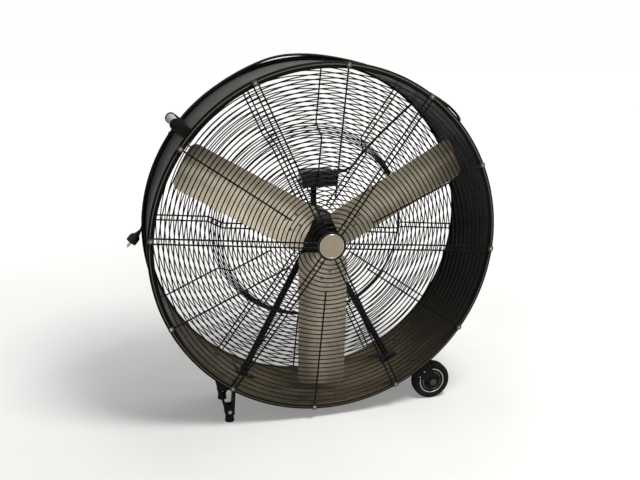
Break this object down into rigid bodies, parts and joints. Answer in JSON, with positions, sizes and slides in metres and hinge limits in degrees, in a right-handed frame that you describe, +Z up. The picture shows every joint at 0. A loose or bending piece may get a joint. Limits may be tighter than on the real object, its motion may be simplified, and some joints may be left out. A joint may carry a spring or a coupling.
{
  "type": "drum fan",
  "caption": "Wheeled drum fan with wire guards, paddle blades on a direct-drive motor, a switch box, a cord and a carrying handle.",
  "frame": {"origin": "on the floor, below the fan's axis and under the middle of its overall depth", "axes": "+X to the right seen from the front, +Y to the rear along the fan's axis, +Z up"},
  "size_m": [1.1379, 0.3302, 1.1425],
  "materials": {
    "drum_paint": "black satin",
    "guard_wire": "black gloss",
    "bronzed_steel": "dull bronze",
    "black_plate": "black satin",
    "badge": "satin silver-beige",
    "black_steel": "black satin",
    "rivet_steel": "dull",
    "zinc_steel": "zinc",
    "bare_steel": "ground",
    "lamination_steel": "dull",
    "motor_paint": "black satin",
    "bearing_steel": "polished",
    "copper_wire": "varnished copper",
    "leg_paint": "black gloss",
    "box_plastic": "dark grey",
    "switch_plastic": "black",
    "capacitor_case": "plain",
    "knob_plastic": "black",
    "gland_plastic": "black",
    "cord_rubber": "matt black",
    "plug_rubber": "matt black",
    "grip_plastic": "light grey",
    "blade_aluminium": "mill finish, dusty",
    "tyre_rubber": "matt black",
    "hub_steel": "dark with bright flange",
    "foot_rubber": "matt black"
  },
  "bodies": {
    "frame": {"drum_shell": "drum_paint", "front_guard": "guard_wire", "rear_guard": "guard_wire", "front_guard_screws": "bronzed_steel", "rear_guard_screws": "bronzed_steel", "guard_centre_plate": "black_plate", "centre_badge": "badge", "motor_shell": "motor_paint", "motor_front_bell": "motor_paint", "motor_rear_bell": "motor_paint", "front_bearing": "bearing_steel", "rear_bearing": "bearing_steel", "stator_core": "lamination_steel", "stator_windings": "copper_wire", "motor_cradle": "black_steel", "motor_leg_left": "leg_paint", "motor_leg_right": "leg_paint", "leg_bolts": "zinc_steel", "switch_box": "box_plastic", "switch_box_lid": "box_plastic", "lid_screws": "zinc_steel", "switch_neck": "black_steel", "speed_switch": "switch_plastic", "capacitor": "capacitor_case", "cord_gland": "gland_plastic", "cord": "cord_rubber", "plug": "plug_rubber", "handle_bracket": "black_steel", "handle_grip": "grip_plastic", "handle_bolt": "zinc_steel", "strap_bolts": "zinc_steel", "fork_bolts": "zinc_steel", "bracket_bolts": "zinc_steel", "foot_bolts": "zinc_steel", "front_wheel_fork": "black_steel", "front_wheel_axle": "zinc_steel", "front_wheel_spacers": "zinc_steel", "front_foot_bracket": "black_steel", "front_rubber_foot": "foot_rubber", "rear_wheel_fork": "black_steel", "rear_wheel_axle": "zinc_steel", "rear_wheel_spacers": "zinc_steel", "rear_foot_bracket": "black_steel", "rear_rubber_foot": "foot_rubber"},
    "rotor": {"motor_shaft": "bare_steel", "rotor_core": "lamination_steel", "hub_spider": "black_steel", "hub_set_screw": "zinc_steel", "blade_rivets": "rivet_steel", "fan_blade_1": "blade_aluminium", "fan_blade_2": "blade_aluminium", "fan_blade_3": "blade_aluminium"},
    "front_wheel": {"front_wheel_tyre": "tyre_rubber", "front_wheel_hub": "hub_steel"},
    "rear_wheel": {"rear_wheel_tyre": "tyre_rubber", "rear_wheel_hub": "hub_steel"},
    "knob": {"speed_knob": "knob_plastic"}
  },
  "joints": [
    {"name": "rotor_spin", "type": "hinge", "parent": "frame", "child": "rotor", "pos_m": [0, -0.0507, 0.583], "axis": [0, 1, 0], "continuous": true},
    {"name": "front_wheel_roll", "type": "hinge", "parent": "frame", "child": "front_wheel", "pos_m": [0.37, -0.0867, 0.0645], "axis": [0, 1, 0], "continuous": true},
    {"name": "rear_wheel_roll", "type": "hinge", "parent": "frame", "child": "rear_wheel", "pos_m": [0.37, 0.0953, 0.0645], "axis": [0, 1, 0], "continuous": true},
    {"name": "knob_turn", "type": "hinge", "parent": "frame", "child": "knob", "pos_m": [0.008, 0.1413, 0.744], "axis": [0, -1, 0], "range_deg": [0, 135]}
  ]
}
